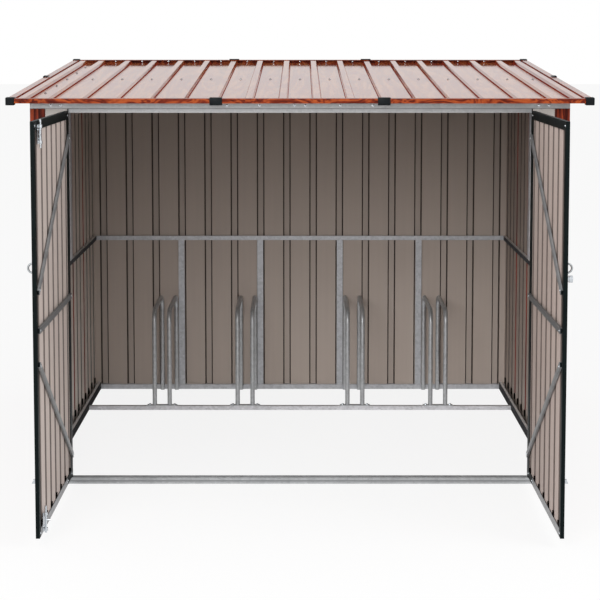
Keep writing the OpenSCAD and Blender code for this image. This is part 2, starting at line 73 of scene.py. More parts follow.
BAR_RUN = 0.8155             # and their length along the leaf
CAP_SIDE = 0.032
CAP_H = 0.028

# Front edge of the roof sheet's underside
trim_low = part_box("roof_trim_front")[0]
roof_front_y = trim_low.y + (TRIM_H - FLANGE_UNDER) * sin(ROOF_SLOPE)
roof_front_z = trim_low.z + FLANGE_UNDER * cos(ROOF_SLOPE)


# ---------------------------------------------------------------- shader kit

def shade(hex_colour):
    """A colour written as #rrggbb, as the linear values that shaders take."""
    parts = [int(hex_colour[i:i + 2], 16) / 255 for i in (1, 3, 5)]
    return tuple(c / 12.92 if c <= 0.04045 else ((c + 0.055) / 1.055) ** 2.4 for c in parts) + (1.0,)


def scaled(colour, factor):
    """A linear colour made darker or lighter."""
    return tuple(min(1.0, c * factor) for c in colour[:3]) + (1.0,)


class Wire:
    """A shader socket that can stand in a formula."""

    def __init__(self, graph, socket):
        self.graph = graph
        self.socket = socket

    def maths(self, operation, a, b=0.0):
        return self.graph.add("Math", {"operation": operation}, {0: a, 1: b})

    def other(self, out):
        """Another output of the same node."""
        return Wire(self.graph, self.socket.node.outputs[out])

    def __add__(self, other):
        return self.maths("ADD", self, other)

    def __radd__(self, other):
        return self.maths("ADD", other, self)

    def __sub__(self, other):
        return self.maths("SUBTRACT", self, other)

    def __rsub__(self, other):
        return self.maths("SUBTRACT", other, self)

    def __mul__(self, other):
        return self.maths("MULTIPLY", self, other)

    def __rmul__(self, other):
        return self.maths("MULTIPLY", other, self)

    def __gt__(self, other):
        return self.maths("GREATER_THAN", self, other)

    def __abs__(self):
        return self.maths("ABSOLUTE", self)


class Graph:
    """A node tree that is built by formula."""

    def __init__(self, tree):
        self.tree = tree

    def add(self, kind, settings=None, sockets=None, out=0):
        node = self.tree.nodes.new("ShaderNode" + kind)
        for name, value in (settings or {}).items():
            if name == "stops":
                self.set_stops(node.color_ramp, value)
            else:
                setattr(node, name, value)
        for name, value in (sockets or {}).items():
            self.join(value, node.inputs[name])
        return Wire(self, node.outputs[out])

    def set_stops(self, ramp, stops):
        while len(ramp.elements) < len(stops):
            ramp.elements.new(0.5)
        for element, (position, colour) in zip(ramp.elements, stops):
            element.position = position
            element.color = colour

    def join(self, value, socket):
        if isinstance(value, Wire):
            self.tree.links.new(value.socket, socket)
        else:
            socket.default_value = value

    def white_rays(self):
        """1 on rays from the eye, a mirror or glass, and 0 on all others."""
        camera = self.add("LightPath", out="Is Camera Ray")
        seen = camera + camera.other("Is Glossy Ray") + camera.other("Is Transmission Ray")
        return self.add("Math", {"operation": "MINIMUM"}, {0: seen, 1: 1.0})


class Finish(Graph):
    """One material, built round its Principled shader."""

    def __init__(self, name, constants):
        self.material = bpy.data.materials.new(name)
        self.material.use_nodes = True
        super().__init__(self.material.node_tree)
        self.shader = self.tree.nodes["Principled BSDF"]
        for socket, value in constants.items():
            self.shader.inputs[socket].default_value = value
        self.place = self.add("TexCoord", out="Object")
        self.facing = self.place.other("Normal")

    def surface(self, sockets):
        for name, value in sockets.items():
            self.join(value, self.shader.inputs[name])
        return self.material

    def stretched(self, scale):
        return self.add("Mapping", None, {"Vector": self.place, "Scale": scale})

    def noise(self, at, scale, detail=2.0, roughness=0.5, distortion=0.0):
        return self.add("TexNoise", None, {
            "Vector": at, "Scale": scale, "Detail": detail,
            "Roughness": roughness, "Distortion": distortion})

    def cells(self, at, scale, out="Distance"):
        return self.add("TexVoronoi", None, {"Vector": at, "Scale": scale}, out)

    def axis(self, vector, index):
        return self.add("SeparateXYZ", None, {0: vector}, index)

    def band(self, value, low, high):
        """0 at low, 1 at high, smooth between."""
        return self.add("MapRange", {"interpolation_type": "SMOOTHSTEP"}, {
            "Value": value, "From Min": low, "From Max": high})

    def folded(self, value):
        """Runs up and down between 0 and 1, like the bands between growth rings."""
        return self.add("Math", {"operation": "PINGPONG"}, {0: value, 1: 1.0})

    def mixed(self, mask, a, b):
        return self.add("Mix", {"data_type": "RGBA"}, {0: mask, 6: a, 7: b}, 2)

    def ramp(self, value, stops):
        return self.add("ValToRGB", {"stops": stops}, {0: value})

    def bump(self, height, distance, strength=1.0):
        return self.add("Bump", None, {
            "Height": height, "Distance": distance, "Strength": strength})


# ---------------------------------------------------------------- finishes

POST_TONES = ["#260a06", "#6c2618", "#a64a2a"]
TRIM_TONES = ["#3c0e07", "#742814", "#a54e26"]
SKIN_TONES = ["#47211a", "#7c3f28", "#a1603c"]
ROOF_TONES = ["#8a3022", "#8f4222", "#b06a40"]
LAP_TONES = ["#4e1512", "#74261f", "#8e3a2c"]
HEM_TONES = ["#7a2c20", "#9a4030", "#b45c42"]


ACROSS, DEEP, UP = 0, 1, 2      # the axes as shader outputs count them


def along_axis(along, stretch, rest=1.0):
    """Scales that draw a pattern out along one axis."""
    return [stretch if axis == along else rest for axis in range(3)]


def wood_print(f, along, tones, size=1.0, run=0.06):
    """Printed boards along an axis: their colour and their height. run is the grain's scale along it."""
    dark, middle, light = [shade(tone) for tone in tones]
    figure = f.noise(f.stretched(along_axis(along, run * size, size)), 14, 4, 0.6, 0.9)
    growth = f.folded(figure * 13.0)
    fibres = f.noise(f.stretched(along_axis(along, 0.02)), 260, 2, 0.65)
    drift = f.noise(f.place, 2.6, 2)
    knots = f.band(f.cells(f.stretched(along_axis(along, 0.32)), 4.2), 0.17, 0.04)
    tone = growth * 0.42 + fibres * 0.34 + drift * 0.36 - knots * 0.4
    colour = f.ramp(tone, [(0.30, dark), (0.52, middle), (0.76, light)])
    return colour, growth * 0.5 + fibres * 0.5


def wood_skin(name, along, tones, size=0.9, run=0.06, lacquer=0.0):
    """Wood-look film on folded steel, with a lacquer on the faces that look up."""
    f = Finish(name, {"IOR": 1.5, "Specular IOR Level": 0.08, "Coat Roughness": 0.12, "Coat IOR": 1.5})
    colour, height = wood_print(f, along, tones, size, run)
    scuffs = f.noise(f.place, 40, 3)
    upper = f.axis(f.facing, UP) > 0.8
    return f.surface({
        "Base Color": colour,
        "Roughness": scuffs * 0.12 + 0.4,
        "Coat Weight": upper * lacquer,
        "Normal": f.bump(height, 0.0003, 0.6)})


def primer_coat(name, tone):
    """Plain factory primer on folded steel, a little cloudy."""
    f = Finish(name, {"IOR": 1.5, "Specular IOR Level": 0.25})
    clouds = f.noise(f.place, 9, 3, 0.6)
    streaks = f.noise(f.stretched(along_axis(UP, 0.05)), 70, 2)
    base = shade(tone)
    return f.surface({
        "Base Color": f.mixed(clouds * 0.6 + streaks * 0.4, scaled(base, 0.86), scaled(base, 1.08)),
        "Roughness": streaks * 0.1 + 0.5,
        "Normal": f.bump(streaks, 0.0002, 0.3)})


def galvanised(name, tone, metallic=0.5, rough=0.36, web=None, shade_line=None, aloft=None):
    """Hot-dip zinc: soft spangles and clouds. web is a painted shade tone for the faces that don't look
    up, which also lose the metal and the coat, while the coat on upward faces is a painted sheen; groove
    is the height, half width and share of the tone of a painted shade line along the steel, and aloft is
    a height and the share of the tone above it."""
    f = Finish(name, {"IOR": 1.5, "Specular IOR Level": 0.0 if web else 0.5, "Coat Roughness": 0.3})
    spangle = f.axis(f.cells(f.place, 90, "Color"), ACROSS)
    clouds = f.noise(f.place, 14, 3, 0.6)
    amount = spangle * 0.35 + clouds * 0.65
    base = shade(tone)
    stops = [(0.25, scaled(base, 0.84)), (0.5, base), (0.75, scaled(base, 1.14))]
    colour = f.ramp(amount, stops)
    shine, top_sheen = metallic - clouds * 0.1, 0.0
    # Faces that don't look up get the web tone, painted shade, and lose the metal and the coat; the coat
    # left on upward faces is a painted sheen.
    if web:
        up = f.axis(f.facing, UP) > 0.7
        colour = f.mixed(up, f.mixed(clouds, scaled(shade(web), 0.8), scaled(shade(web), 1.2)), colour)
        shine, top_sheen = shine * up, up
    if aloft:
        height, share = aloft
        dimmed = f.ramp(amount, [(at, scaled(stop, share)) for at, stop in stops])
        colour = f.mixed(f.axis(f.place, UP) > height, colour, dimmed)
    # A painted shade line: a darker band at one height, standing in for the shade along a fold in the
    # steel.
    if shade_line:
        height, half, share = shade_line
        near = f.band(abs(f.axis(f.place, UP) - height), half * 1.4, half * 0.7)
        colour = f.mixed(near, colour, scaled(base, share))
    return f.surface({
        "Base Color": colour,
        "Metallic": shine,
        "Coat Weight": top_sheen,
        "Roughness": spangle * 0.12 + clouds * 0.1 + rough,
        "Normal": f.bump(clouds + spangle * 0.3, 0.0004, 0.3)})


def zinc_plate(name, low, high, metallic=0.95):
    """Zinc plate of the small fittings, wiped between two tones."""
    f = Finish(name, {"IOR": 1.5, "Metallic": metallic})
    wipe = f.noise(f.place, 120, 2)
    return f.surface({
        "Base Color": f.mixed(wipe, shade(low), shade(high)),
        "Roughness": wipe * 0.16 + 0.16,
        "Normal": f.bump(wipe, 0.0002, 0.3)})


def powder_coat():
    """Near-black green powder coat on the door frames."""
    f = Finish("dark_powder_coat", {"IOR": 1.5, "Specular IOR Level": 0.05})
    orange_peel = f.noise(f.place, 700, 1)
    wear = f.noise(f.place, 9, 4, 0.6)
    return f.surface({
        "Base Color": f.mixed(wear, shade("#060b0a"), shade("#10191a")),
        "Roughness": wear * 0.15 + 0.42,
        "Normal": f.bump(orange_peel, 0.0001, 0.5)})


def black_plastic_and_shade():
    """Black moulded plastic of the caps and clips; the same black is painted shade on the bar plugs and
    the lock's keyway.
    """
    f = Finish("black_plastic_and_painted_shade", {"IOR": 1.46, "Specular IOR Level": 0.12})
    grain = f.noise(f.place, 900, 2)
    clouds = f.noise(f.place, 25, 2)
    return f.surface({
        "Base Color": f.mixed(clouds, shade("#0c0f11"), shade("#171c1f")),
        "Roughness": grain * 0.1 + 0.42,
        "Normal": f.bump(grain, 0.0001, 0.5)})


def rib_end_shade():
    """Near-black fill for the lower ends of the ribs, with a cell texture: painted shade for the dark
    rib ends.
    """
    f = Finish("rib_end_painted_shade", {"IOR": 1.4, "Specular IOR Level": 0.0})
    fill_cells = f.cells(f.place, 1200)
    return f.surface({
        "Base Color": f.mixed(fill_cells, shade("#070606"), shade("#171412")),
        "Roughness": fill_cells * 0.1 + 0.85,
        "Normal": f.bump(fill_cells, 0.0003, 0.6)})


def sheet(name, outward, sign, across, edge_shade, inner, foot=None):
    """Two-sided upright ribbed sheet: a wood print on its outward side, a beige primer inside, with
    painted light that makes it paler at its foot and painted shade on the rib slants. outward and across
    are axes, and sign says which way outward points."""
    f = Finish(name, {"IOR": 1.5, "Specular IOR Level": 0.3})
    outside = f.axis(f.facing, outward) * float(sign) > 0.02
    slant = f.band(abs(f.axis(f.facing, across)), 0.35, 0.75)
    colour, height = wood_print(f, UP, SKIN_TONES)
    clouds = f.noise(f.place, 2.5, 3)
    streaks = f.noise(f.stretched(along_axis(UP, 0.03)), 60, 2)
    cloudy = streaks * 0.5 + clouds * 0.5
    primed = f.mixed(cloudy, scaled(shade(inner), 0.88), scaled(shade(inner), 1.06))
    # Paler tones towards the foot are painted light, in place of the light that reaches the sheet's
    # lower part.
    if foot:
        painted_foot_light = f.mixed(cloudy, scaled(shade(foot), 0.88), scaled(shade(foot), 1.06))
        primed = f.mixed(f.band(f.axis(f.place, UP), 1.25, 0.15), primed, painted_foot_light)
    # Painted shade: the rib slants are darkened towards a near-black brown, as much as edge_shade says.
    primed = f.mixed(slant * edge_shade, primed, shade("#271a14"))
    return f.surface({
        "Base Color": f.mixed(outside, primed, colour),
        "Roughness": 0.55 - outside * 0.12 + streaks * 0.08,
        "Normal": f.bump(height * outside, 0.0003, 0.6)})


def roof_skin():
    """Wood print under a glossy lacquer, bare at the foot of each rib, and dull primer below."""
    f = Finish("roof_skin", {
        "IOR": 1.5, "Specular IOR Level": 0.0, "Coat Roughness": 0.1, "Coat IOR": 1.5})
    upward = f.axis(f.facing, UP)
    rise = f.axis(f.place, UP) - roof_front_z
    run = f.axis(f.place, DEEP) - roof_front_y
    over_plane = rise * cos(ROOF_SLOPE) - run * sin(ROOF_SLOPE)
    flank = 1.0 - (upward > 0.8)
    foot = flank * f.band(over_plane, 0.0054, 0.0038)
    colour, height = wood_print(f, DEEP, ROOF_TONES, 0.8)
    printed = f.mixed(foot, colour, shade(ROOF_TONES[0]))
    return f.surface({
        "Base Color": f.mixed(upward > 0.02, shade("#8d8078"), printed),
        "Roughness": height * 0.1 + 0.4,
        "Coat Weight": (1.0 - foot) * 0.84})


STEEL = galvanised("galvanised_steel", "#a9aaab")
STEEL_INNER = galvanised("galvanised_inner", "#c0c1c5", 0.35)
STEEL_RACKS = galvanised("galvanised_tube", "#b4b6b8", 0.55, 0.3)
JAMB_SKIN = primer_coat("jamb_primer", "#c8c4bf")
STEEL_CROSS = galvanised("galvanised_cross_rail", "#dedee2", 0.3)
# The sill's and the lintel's dark lines are painted shade: a darker band at one height, in place of the
# shade along a rolled line in the sill and along the lintel's fold.
STEEL_SILL = galvanised("galvanised_sill", "#abadaf", 0.3, shade_line=(0.0108, 0.0021, 0.62))
LINTEL_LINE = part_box("jambs")[1].z + 0.0008     # where the lintel's web meets its stop flange
STEEL_LINTEL = galvanised("galvanised_lintel", "#adaeaf", shade_line=(LINTEL_LINE, 0.0012, 0.4))
# The side rails' upward faces take a near-white tone, painted light on their lit lips, and their other
# faces the web tone, painted shade.
STEEL_SIDES = galvanised("galvanised_sides", "#f6f7f8", 0.2, web="#58595c")
STEEL_RAILS = galvanised("galvanised_door_rails", "#98999b", 0.4, aloft=(0.2, 0.52))
STEEL_BARS = galvanised("galvanised_bars", "#8a8c8e", 0.4)
ZINC = zinc_plate("bright_zinc", "#b9bfc6", "#dfe3e6")
SCREWS = zinc_plate("screw_steel", "#74787c", "#a2a6aa", 0.7)
DARK = powder_coat()
HANDLE = zinc_plate("handle_zinc", "#989da0", "#b6babc", 0.35)
BLACK_PLASTIC_AND_SHADE = black_plastic_and_shade()
RIB_END_SHADE = rib_end_shade()
POST_SKIN = wood_skin("wood_look_posts", UP, POST_TONES)
LAP_SKIN = wood_skin("wood_look_laps", UP, LAP_TONES)
HEM_SKIN = wood_skin("wood_look_hems", DEEP, HEM_TONES)
TRIM_ACROSS = wood_skin("wood_look_trim_across", ACROSS, TRIM_TONES, 1.2, 0.4, 0.18)
TRIM_ALONG = wood_skin("wood_look_trim_along", DEEP, TRIM_TONES, 1.2, 0.4, 0.66)

FINISHES = {
    "base_front": STEEL_SILL, "base_back": STEEL_INNER,
    "base_left": STEEL_SIDES, "base_right": STEEL_SIDES,
    "rack_cross_rail": STEEL_CROSS, "jambs": JAMB_SKIN, "lintel": STEEL_LINTEL,
    "mid_rail_back": STEEL_INNER, "mid_rails_side": STEEL_SIDES, "top_rail_back": STEEL_INNER,
    "top_rails_side": STEEL_SIDES, "side_posts": STEEL_INNER, "back_posts": STEEL_INNER,
    "purlin": STEEL_INNER, "hinge_plates": STEEL, "corner_feet": ZINC,
    "front_corner_posts": POST_SKIN, "back_corner_posts": POST_SKIN,
    "roof_trim_front": TRIM_ACROSS, "roof_trim_back": TRIM_ACROSS,
    "roof_trim_left": TRIM_ALONG, "roof_trim_right": TRIM_ALONG,
    "rack_outer_left": STEEL_RACKS, "rack_inner_left": STEEL_RACKS,
    "rack_inner_right": STEEL_RACKS, "rack_outer_right": STEEL_RACKS,
    # The walls share one primer; the right wall's darker tones are painted shade, and the pale tones at
    # the feet, palest on the left wall, are painted light.
    "back_wall": sheet("back_wall_sheet", DEEP, 1, ACROSS, 0.9, "#b3a59b", "#cfc1b7"),
    "left_wall": sheet("left_wall_sheet", ACROSS, -1, DEEP, 0.85, "#c2b4aa", "#f6ece4"),
    "right_wall": sheet("right_wall_sheet", ACROSS, 1, DEEP, 0.85, "#a5978d", "#bcaea4"),
    "roof_sheet": roof_skin(),
    "left_door_sheet": sheet("left_door_skin", ACROSS, -1, DEEP, 0.78, "#d3c5be"),
    "right_door_sheet": sheet("right_door_skin", ACROSS, 1, DEEP, 0.82, "#cab9b1"),
    "left_door_frame": DARK, "right_door_frame": DARK,
    "left_door_rails": STEEL_RAILS, "right_door_rails": STEEL_RAILS,
    "left_door_braces": STEEL_BARS, "right_door_braces": STEEL_BARS,
    "left_door_handle": HANDLE, "right_door_handle": HANDLE,
    "bolt_housings": ZINC, "upper_bolt": ZINC, "lower_bolt": ZINC, "door_lock": ZINC,
    "roof_corner_caps": BLACK_PLASTIC_AND_SHADE,
}

for name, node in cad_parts.items():
    node.data.materials.clear()
    node.data.materials.append(FINISHES[name])


# ---------------------------------------------------------------- making of small pieces

def piece(name, bm, finish, body, smooth=True):
    """Turns a bmesh into a piece that rides on a body."""
    bmesh.ops.remove_doubles(bm, verts=bm.verts, dist=1e-6)
    bmesh.ops.recalc_face_normals(bm, faces=bm.faces)
    mesh = bpy.data.meshes.new(name)
    bm.to_mesh(mesh)
    bm.free()
    mesh.materials.append(finish)
    if smooth:
        mesh.shade_smooth()
        mesh.set_sharp_from_angle(angle=radians(35))
    made = bpy.data.objects.new(name, mesh)
    bpy.context.scene.collection.objects.link(made)
    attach(made, body)
    return made


def pattern(bm):
    """Keeps a small shape as a mesh that can be stamped."""
    mesh = bpy.data.meshes.new("pattern")
    bm.to_mesh(mesh)
    bm.free()
    return mesh


def stamped(shape, places):
    """Copies of a pattern, each put where a matrix says."""
    bm = bmesh.new()
    for place in places:
        before = len(bm.verts)
        bm.from_mesh(shape)
        bm.verts.ensure_lookup_table()
        bmesh.ops.transform(bm, matrix=place, verts=bm.verts[before:])
    return bm


def turned(profile, steps):
    """A small solid turned about Z from (radius, height) points."""
    bm = bmesh.new()
    points = [bm.verts.new((r, 0, h)) for r, h in profile]
    edges = [bm.edges.new(pair) for pair in zip(points, points[1:])]
    bmesh.ops.spin(bm, geom=points + edges, axis=Z, cent=(0, 0, 0), angle=2 * pi, steps=steps,
                   use_merge=True)
    bmesh.ops.remove_doubles(bm, verts=bm.verts, dist=1e-6)
    return pattern(bm)


def screw_pattern(size):
    """Washer-head screw of a head radius."""
    return turned([(0, 0.52 * size), (0.3 * size, 0.5 * size), (0.52 * size, 0.38 * size),
                   (0.58 * size, 0.18 * size), (size, 0.12 * size), (size, -0.04 * size),
                   (0, -0.04 * size)], 10)


def rivet_pattern(size):
    """Domed rivet head of a radius."""
    return turned([(0, 0.42 * size), (0.45 * size, 0.36 * size), (0.8 * size, 0.2 * size),
                   (size, 0), (size, -0.04 * size), (0, -0.04 * size)], 10)


def hex_bolt_pattern(size):
    """Hexagon head on a washer, of a washer radius."""
    bm = bmesh.new()
    bmesh.ops.create_cone(bm, cap_ends=True, segments=16, radius1=size, radius2=size * 0.96,
                          depth=0.2 * size, matrix=Matrix.Translation(Z * 0.1 * size))
    bmesh.ops.create_cone(bm, cap_ends=True, segments=6, radius1=0.68 * size, radius2=0.62 * size,
                          depth=0.5 * size, matrix=Matrix.Translation(Z * 0.44 * size))
    return pattern(bm)


def block(bm, size):
    """A cuboid about the origin."""
    bmesh.ops.create_cube(bm, size=1, matrix=Matrix.Diagonal((*size, 1)))


def rounded(bm, radius, segments=2):
    bmesh.ops.bevel(bm, geom=bm.edges[:], offset=radius, affect="EDGES", segments=segments,
                    profile=0.5, material=-1)


def cap_pattern():
    """Moulded corner block with rounded edges and a sunk panel on its top and outer faces."""
    bm = bmesh.new()
    block(bm, (CAP_SIDE, CAP_SIDE, CAP_H))
    rounded(bm, 0.0025, 3)
    flats = [f for f in bm.faces if f.calc_area() > 0.5 * CAP_SIDE * CAP_H]
    for flat in flats:
        bmesh.ops.inset_region(bm, faces=[flat], thickness=0.0028, depth=0.0)
        bmesh.ops.inset_region(bm, faces=[flat], thickness=0.0007, depth=-0.0008)
    return pattern(bm)


def clip_pattern(width, depth):
    """C-shaped trim joint, open towards +Y, its outer face on y = 0."""
    bm = bmesh.new()
    block(bm, (width, depth, CAP_H))
    bmesh.ops.translate(bm, verts=bm.verts, vec=Y * depth / 2)
    open_sides = [f for f in bm.faces if f.normal.y > 0.9 or abs(f.normal.x) > 0.9]
    bmesh.ops.delete(bm, geom=open_sides, context="FACES_ONLY")
    bmesh.ops.solidify(bm, geom=bm.faces[:], thickness=0.002)
    bmesh.ops.recalc_face_normals(bm, faces=bm.faces)
    rounded(bm, 0.0007)
    return pattern(bm)


def closure_pattern(depth, height, proud):
    """Dark fill in the lower end of a rib, painted shade as a piece, with a pad before it. The sheet's
    face is on y = 0 and the crest lies towards +y."""
    bm = bmesh.new()
    block(bm, (0.0345, depth + proud, height))
    bmesh.ops.translate(bm, verts=bm.verts, vec=(0, (depth - proud) / 2, height / 2))
    crest = [v for v in bm.verts if v.co.y > 0]
    bmesh.ops.scale(bm, vec=(0.66, 1, 1), verts=crest)
    rounded(bm, 0.0005, 1)
    return pattern(bm)


def facing(at, outward, turn=0.0):
    """Place of a head at a point, looking outward."""
    aim = Vector(outward).to_track_quat("Z", "Y").to_matrix().to_4x4()
    return Matrix.Translation(at) @ aim @ Matrix.Rotation(turn, 4, "Z")


def evenly(count, pitch):
    """Places a pitch apart, evenly about 0."""
    return [(i - (count - 1) / 2) * pitch for i in range(count)]


# ---------------------------------------------------------------- roof

roof_half = -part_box("roof_trim_left")[0].x
roof_len = (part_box("roof_trim_back")[1].y - roof_front_y) / cos(ROOF_SLOPE)

# The sheet's underside, from the middle of its front edge and up the slope
ROOF_PLANE = Matrix.Translation((0, roof_front_y, roof_front_z)) @ Matrix.Rotation(ROOF_SLOPE, 4, "X")
cap_mid_z = 0.0055


def roof_under(y):
    """Height of the roof sheet's underside."""
    return roof_front_z + (y - roof_front_y) * tan(ROOF_SLOPE)


def roof_screws():
    """One screw in each pan over the purlin, a column over the left wall, and the back trim's."""
    wall_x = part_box("left_wall")[1].x
    purlin_low, purlin_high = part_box("purlin")
    row = ((purlin_low.y + purlin_high.y) / 2 - roof_front_y) / cos(ROOF_SLOPE)
    spots = [(x, row) for x in evenly(ACROSS_PANS, RIB_PITCH)]
    spots += [(-wall_x, row)]
    spots += [(wall_x, row + offset) for offset in evenly(5, 0.326)]
    places = [ROOF_PLANE @ facing((x, y, SHEET_T), Z) for x, y in spots]
    heads = stamped(hex_bolt_pattern(0.0055), places)
    piece("roof_screws", heads, SCREWS, "shelter", False)
    inner_web = roof_len - 0.0013
    places = [ROOF_PLANE @ facing((x, inner_web, 0.0075), -Y) for x in evenly(ACROSS_PANS, RIB_PITCH)]
    piece("trim_screws", stamped(screw_pattern(0.0034), places), ZINC, "shelter")


def corner_caps():
    middle = CAP_SIDE / 2 - 0.002
    places = [ROOF_PLANE @ Matrix.Translation((side * (roof_half - middle), y, cap_mid_z))
              for side in (-1, 1) for y in (middle, roof_len - middle)]
    mouldings = stamped(cap_pattern(), places)
    caps = piece("corner_cap_mouldings", mouldings, BLACK_PLASTIC_AND_SHADE, "shelter")
    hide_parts("roof_corner_caps")


def trim_clips():
    """Joint clips on the edge trims: two in front, two behind and one on each side."""
    proud = 0.002
    spots = [((x, -proud, cap_mid_z), 0) for x in (-0.305, 0.305)]
    spots += [((x, roof_len + proud, cap_mid_z), pi) for x in (-0.309, 0.309)]
    spots += [((-roof_half - proud, roof_len / 2, cap_mid_z), -pi / 2)]
    spots += [((roof_half + proud, roof_len / 2, cap_mid_z), pi / 2)]
    places = [ROOF_PLANE @ Matrix.Translation(at) @ Matrix.Rotation(turn, 4, "Z") for at, turn in spots]
    piece("trim_clips", stamped(clip_pattern(0.046, 0.021), places), BLACK_PLASTIC_AND_SHADE, "shelter")


def trim_hems():
    """Hems folded down from the inner lips of the side trims."""
    drop, thick = 0.0066, 0.0008
    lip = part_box("roof_trim_right")[0].x
    under_flange = TRIM_H - FLANGE_UNDER - 0.0013
    bm = bmesh.new()
    for side in (-1, 1):
        strip = bmesh.ops.create_cube(bm, size=1)["verts"]
        bmesh.ops.scale(bm, vec=(thick, roof_len - 2 * CAP_SIDE, drop), verts=strip)
        middle = (side * (lip + thick / 2), roof_len / 2, under_flange - drop / 2)
        bmesh.ops.translate(bm, vec=middle, verts=strip)
    rounded(bm, 0.0002, 1)
    bmesh.ops.transform(bm, matrix=ROOF_PLANE, verts=bm.verts)
    piece("trim_hems", bm, HEM_SKIN, "shelter", False)


roof_screws()
corner_caps()
trim_clips()
trim_hems()


# ---------------------------------------------------------------- walls, frame and racks

front_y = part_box("lintel")[0].y
lintel_x = [0.0201, 0.1488, 0.2678, 0.8790, 0.9157]


def frame_screws():
    """Screws in the lintel's face, the hinge plates and the corner feet."""
    at_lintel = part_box("lintel")[0].z + 0.028
    places = [facing((side * x, front_y, at_lintel), -Y) for x in lintel_x for side in (-1, 1)]
    piece("lintel_screws", stamped(screw_pattern(0.0042), places), ZINC, "shelter")

    low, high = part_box("hinge_plates")
    plate_y = front_y - 0.0008
    plate_z = [low.z + 0.009, high.z - 0.0265]
    places = [facing((side * (high.x - inset), plate_y, z), -Y)
              for side in (-1, 1) for z in plate_z for inset in (0.005, 0.0125)]
    piece("hinge_screws", stamped(screw_pattern(0.003), places), ZINC, "shelter")

    low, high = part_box("corner_feet")
    slope = Vector((0.794, 0, 0.607))
    places = [facing((side * (high.x - 0.0065), y, 0.0117), (side * slope.x, 0, slope.z))
              for side in (-1, 1) for y in (low.y + 0.0125, high.y - 0.0125)]
    heads = stamped(hex_bolt_pattern(0.0045), places)
    piece("foot_bolts", heads, ZINC, "shelter", False)


def jamb_black_strips():
    """Black strips on the jambs' inner returns, behind the hinges."""
    thick, deep = 0.0026, 0.020
    low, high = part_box("jambs")
    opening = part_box("hinge_plates")[1].x - 0.026 - 0.002
    bm = bmesh.new()
    for side in (-1, 1):
        strip = bmesh.ops.create_cube(bm, size=1)["verts"]
        bmesh.ops.scale(bm, vec=(thick, deep, high.z - low.z - 0.002), verts=strip)
        x = side * (opening - thick / 2 - 0.0001)
        middle = (x, front_y + 0.007 + deep / 2, (low.z + high.z) / 2)
        bmesh.ops.translate(bm, vec=middle, verts=strip)
    rounded(bm, 0.0008)
    piece("jamb_black_strips", bm, BLACK_PLASTIC_AND_SHADE, "shelter")


def wall_screws():
    """Rows of screws through the walls' pans into the base, mid and top rails, seen from outside."""
    under_roof = 0.019
    mid_z = sum(corner.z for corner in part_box("mid_rail_back")) / 2
    base_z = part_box("back_wall")[0].z + 0.014
    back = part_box("back_wall")[1].y - WALL_RIB_H
    side_low, side_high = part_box("right_wall")
    side_face = side_high.x - WALL_RIB_H
    side_mid = (side_low.y + side_high.y) / 2
    places = []
    for x in evenly(ACROSS_PANS, RIB_PITCH):
        for z in (base_z, mid_z, roof_under(back) - under_roof):
            places.append(facing((x, back, z), Y))
    for offset in evenly(DEEP_PANS, DEEP_PITCH):
        y = side_mid + offset
        for side in (-1, 1):
            for z in (base_z, mid_z, roof_under(y) - under_roof):
                places.append(facing((side * side_face, y, z), X * side))
    piece("wall_screws", stamped(screw_pattern(0.0062), places), ZINC, "shelter")


def rack_bolts():
    """Two bolts through each foot plate, outside its hoops."""
    reach = 0.055
    places = []
    for name in ("rack_outer_left", "rack_inner_left", "rack_inner_right", "rack_outer_right"):
        low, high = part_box(name)
        middle = (low.x + high.x) / 2
        rail_low, rail_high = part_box("rack_cross_rail")
        at_y = (rail_low.y + rail_high.y) / 2
        top = rail_high.z + 0.0043
        places += [facing((middle + side * reach, at_y, top), Z, 0.3) for side in (-1, 1)]
    heads = stamped(hex_bolt_pattern(0.008), places)
    piece("rack_bolts", heads, ZINC, "shelter", False)


def wall_laps():
    """Laps of the side walls' sheets: the outer one's printed edge, on the flank of every third rib."""
    reach, thick = 0.010, 0.001
    low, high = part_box("right_wall")
    middle = (low.y + high.y) / 2
    flank = Vector((WALL_RIB_H, -(RIB_BASE - RIB_CREST) / 2, 0)).normalized()
    bm = bmesh.new()
    for side in (-1, 1):
        for rib in (-5, -2, 1, 4):
            y = middle + rib * DEEP_PITCH
            base, top = low.z + 0.04, roof_under(y) - 0.036
            strip = bmesh.ops.create_cube(bm, size=1)["verts"]
            bmesh.ops.scale(bm, vec=(reach, thick, top - base), verts=strip)
            bmesh.ops.rotate(bm, matrix=Matrix.Rotation(-side * flank.angle(X), 3, "Z"), verts=strip)
            at = Vector((low.x, y + RIB_BASE / 2, 0)) + flank * (reach / 2) - Y * (thick + 0.0002)
            bmesh.ops.translate(bm, vec=(side * at.x, at.y, (base + top) / 2), verts=strip)
    rounded(bm, 0.0002, 1)
    piece("wall_laps", bm, LAP_SKIN, "shelter", False)


def wall_shade_closures():
    """Dark pieces in the lower ends of the side walls' ribs: painted shade for the dark rib ends."""
    foot_z = 0.034
    low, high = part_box("right_wall")
    middle = (low.y + high.y) / 2
    shape = closure_pattern(WALL_RIB_H - 0.0004, 0.026, 0.004)
    places = [Matrix.Translation((side * (low.x + 0.0001), middle + offset, foot_z))
              @ Matrix.Rotation(-side * pi / 2, 4, "Z")
              for side in (-1, 1) for offset in evenly(DEEP_PANS + 1, DEEP_PITCH)]
    piece("wall_rib_closures", stamped(shape, places), RIB_END_SHADE, "shelter", False)


frame_screws()
jamb_black_strips()
wall_screws()
wall_laps()
wall_shade_closures()
rack_bolts()


# ---------------------------------------------------------------- doors

leaf_face = -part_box("left_door_frame")[0].x
leaf_free_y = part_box("left_door_frame")[0].y
leaf_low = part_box("left_door_frame")[0].z
leaf_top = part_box("left_door_frame")[1].z
door_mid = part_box("left_door_rails")[1].z - 0.010
SIDES = {"left_door": -1, "right_door": 1}

